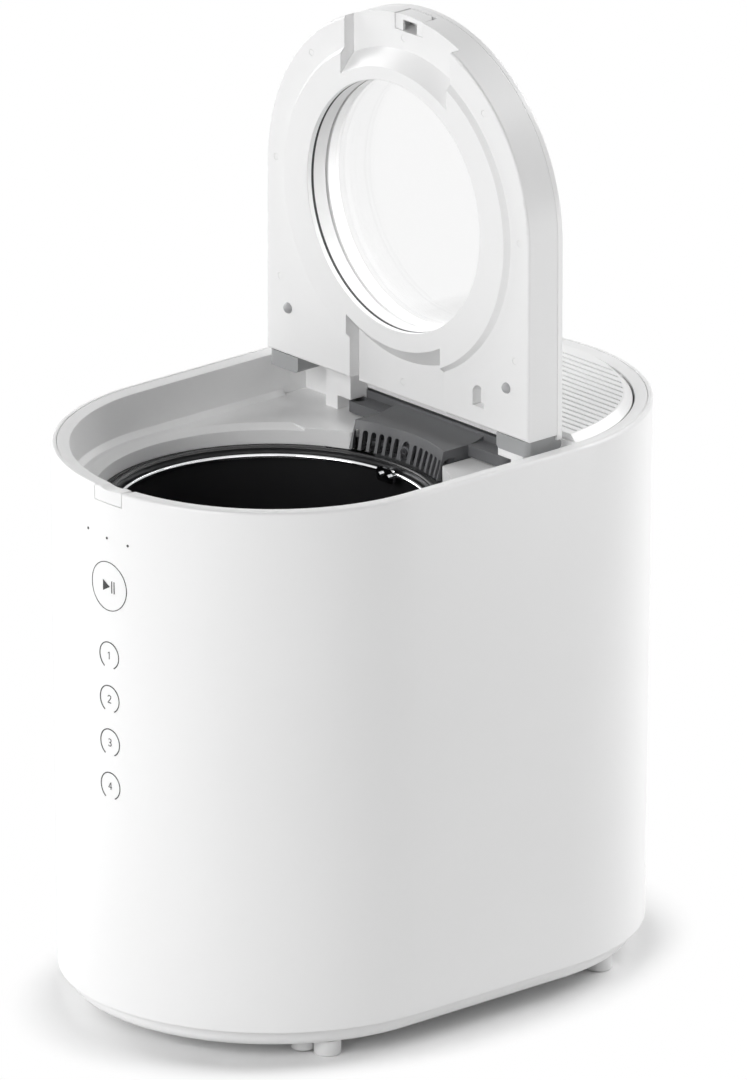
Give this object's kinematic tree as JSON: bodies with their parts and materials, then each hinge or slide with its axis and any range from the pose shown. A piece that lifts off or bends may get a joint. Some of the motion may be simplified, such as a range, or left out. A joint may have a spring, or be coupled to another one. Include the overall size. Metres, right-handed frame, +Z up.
{
  "type": "electric food waste composter",
  "caption": "Countertop electric food waste composter: an oval casing with a windowed lid hinged at the middle, a lift-out bucket with a stirring blade and wire bails, and a filter bay behind.",
  "frame": {"origin": "centre of the footprint on the surface it stands on", "axes": "+Z up, -Y towards the front end with the bucket and the controls, +X to the right seen from the front"},
  "size_m": [0.24, 0.356, 0.5387],
  "materials": {
    "shell_white": "satin white",
    "frame_white": "satin cool white",
    "base_white": "satin pale grey",
    "foot_pale": "matt pale grey",
    "screw_steel": "bright zinc",
    "steel_plate": "plain zinc plate",
    "pot_aluminium": "satin",
    "seal_black": "silicone",
    "heater_cast": "cast",
    "element_steel": "heat stained",
    "sensor_steel": "plain",
    "jacket_felt": "pressed fibre",
    "gearbox_grey": "glass-filled",
    "gear_nylon": "natural nylon",
    "axle_steel": "ground",
    "bearing_steel": "polished",
    "rubber_dark": "matt",
    "motor_steel": "zinc grey",
    "gear_steel": "sintered",
    "bucket_black": "non-stick satin",
    "bail_chrome": "polished",
    "bush_bronze": "plain",
    "seal_red": "silicone",
    "blade_steel": "brushed stainless",
    "collector_grey": "satin dark grey",
    "duct_grey": "matt",
    "fan_black": "matt",
    "tub_white": "matt",
    "cartridge_grey": "matt",
    "carbon_black": "granular",
    "ring_grey": "satin",
    "gasket_dark": "matt",
    "pane_glass": "clear",
    "spacer_pale": "matt",
    "knuckle_grey": "satin grey",
    "board_green": "solder mask",
    "inlet_black": "matt"
  },
  "bodies": {
    "chassis": {"outer_shell": "shell_white", "top_frame": "frame_white", "base_tray": "base_white", "feet": "foot_pale", "base_screws": "screw_steel", "chassis_plate": "steel_plate", "machine_screws": "screw_steel", "heating_pot": "pot_aluminium", "pot_seal": "seal_black", "heater_plate": "heater_cast", "heating_element": "element_steel", "temperature_sensor": "sensor_steel", "insulation_jacket": "jacket_felt", "gearbox_housing": "gearbox_grey", "gearbox_cover": "gearbox_grey", "gear_axles": "axle_steel", "output_bearings": "bearing_steel", "output_seal": "rubber_dark", "motor": "motor_steel", "air_collector": "collector_grey", "collector_screws": "screw_steel", "suction_duct": "duct_grey", "fan_frame": "fan_black", "filter_tub": "tub_white", "hinge_pins": "screw_steel", "release_spring": "screw_steel", "touch_panel": "board_green", "main_board": "board_green", "power_inlet": "inlet_black"},
    "lid": {"lid_cover": "shell_white", "lid_frame": "frame_white", "window_ring": "ring_grey", "window_gasket": "gasket_dark", "window_inner_pane": "pane_glass", "window_outer_pane": "pane_glass", "pane_spacer": "spacer_pale", "lid_bumpers": "rubber_dark", "lid_screws": "screw_steel", "latch_keeper": "screw_steel", "hinge_knuckles": "knuckle_grey"},
    "release_button": {"release_button": "frame_white"},
    "bucket": {"bucket": "bucket_black", "bail_ears": "bail_chrome", "blade_bush": "bush_bronze", "blade_seal": "seal_red"},
    "bail_right": {"bail_right": "bail_chrome"},
    "bail_left": {"bail_left": "bail_chrome"},
    "stirrer": {"blade": "blade_steel", "blade_shaft": "axle_steel", "blade_coupling": "gear_steel"},
    "output": {"output_gear": "gear_nylon", "output_shaft": "axle_steel"},
    "cluster_gear_b": {"cluster_gear_b": "gear_nylon"},
    "cluster_gear_a": {"cluster_gear_a": "gear_nylon"},
    "motor_rotor": {"motor_shaft": "axle_steel", "motor_pinion": "gear_steel"},
    "fan_impeller": {"fan_impeller": "fan_black"},
    "filter_cover": {"filter_cover": "shell_white"},
    "cartridge": {"cartridge_frame": "cartridge_grey", "carbon_bed": "carbon_black"}
  },
  "joints": [
    {"name": "lid_hinge", "type": "hinge", "parent": "chassis", "child": "lid", "pos_m": [0, 0.0541, 0.3175], "axis": [-1, 0, 0], "range_deg": [-90, 0]},
    {"name": "bucket_lift", "type": "slide", "parent": "chassis", "child": "bucket", "axis": [0, 0, 1], "range_m": [0, 0.05]},
    {"name": "bail_right_swing", "type": "hinge", "parent": "bucket", "child": "bail_right", "pos_m": [0.0035, -0.058, 0.279], "axis": [0, -1, 0], "range_deg": [0, 88]},
    {"name": "bail_left_swing", "type": "hinge", "parent": "bucket", "child": "bail_left", "pos_m": [-0.0035, -0.058, 0.279], "axis": [0, 1, 0], "range_deg": [0, 88]},
    {"name": "blade_spin", "type": "hinge", "parent": "bucket", "child": "stirrer", "pos_m": [0, -0.058, 0.12], "axis": [0, 0, 1], "continuous": true},
    {"name": "output_spin", "type": "hinge", "parent": "chassis", "child": "output", "pos_m": [0, -0.058, 0.07], "axis": [0, 0, 1], "continuous": true},
    {"name": "cluster_b_spin", "type": "hinge", "parent": "chassis", "child": "cluster_gear_b", "pos_m": [0, -0.0016, 0.07], "axis": [0, 0, 1], "continuous": true},
    {"name": "cluster_a_spin", "type": "hinge", "parent": "chassis", "child": "cluster_gear_a", "pos_m": [0, 0.04918, 0.07], "axis": [0, 0, 1], "continuous": true},
    {"name": "motor_spin", "type": "hinge", "parent": "chassis", "child": "motor_rotor", "pos_m": [0, 0.09433, 0.07], "axis": [0, 0, 1], "continuous": true},
    {"name": "fan_spin", "type": "hinge", "parent": "chassis", "child": "fan_impeller", "pos_m": [0, 0.108, 0.215], "axis": [0, 0, 1], "continuous": true},
    {"name": "release_press", "type": "slide", "parent": "chassis", "child": "release_button", "axis": [0, 1, 0], "range_m": [0, 0.0025], "stiffness_N_per_m": 600},
    {"name": "filter_cover_lift", "type": "slide", "parent": "chassis", "child": "filter_cover", "axis": [0, 0, 1], "range_m": [0, 0.14]},
    {"name": "cartridge_lift", "type": "slide", "parent": "chassis", "child": "cartridge", "axis": [0, 0, 1], "range_m": [0, 0.084]}
  ],
  "couplings": [
    {"joint": "output_spin", "follows": "blade_spin", "ratio": 1},
    {"joint": "cluster_b_spin", "follows": "blade_spin", "ratio": -4},
    {"joint": "cluster_a_spin", "follows": "blade_spin", "ratio": 14},
    {"joint": "motor_spin", "follows": "blade_spin", "ratio": -42},
    {"joint": "cartridge_lift", "follows": "filter_cover_lift", "ratio": 0.6}
  ]
}
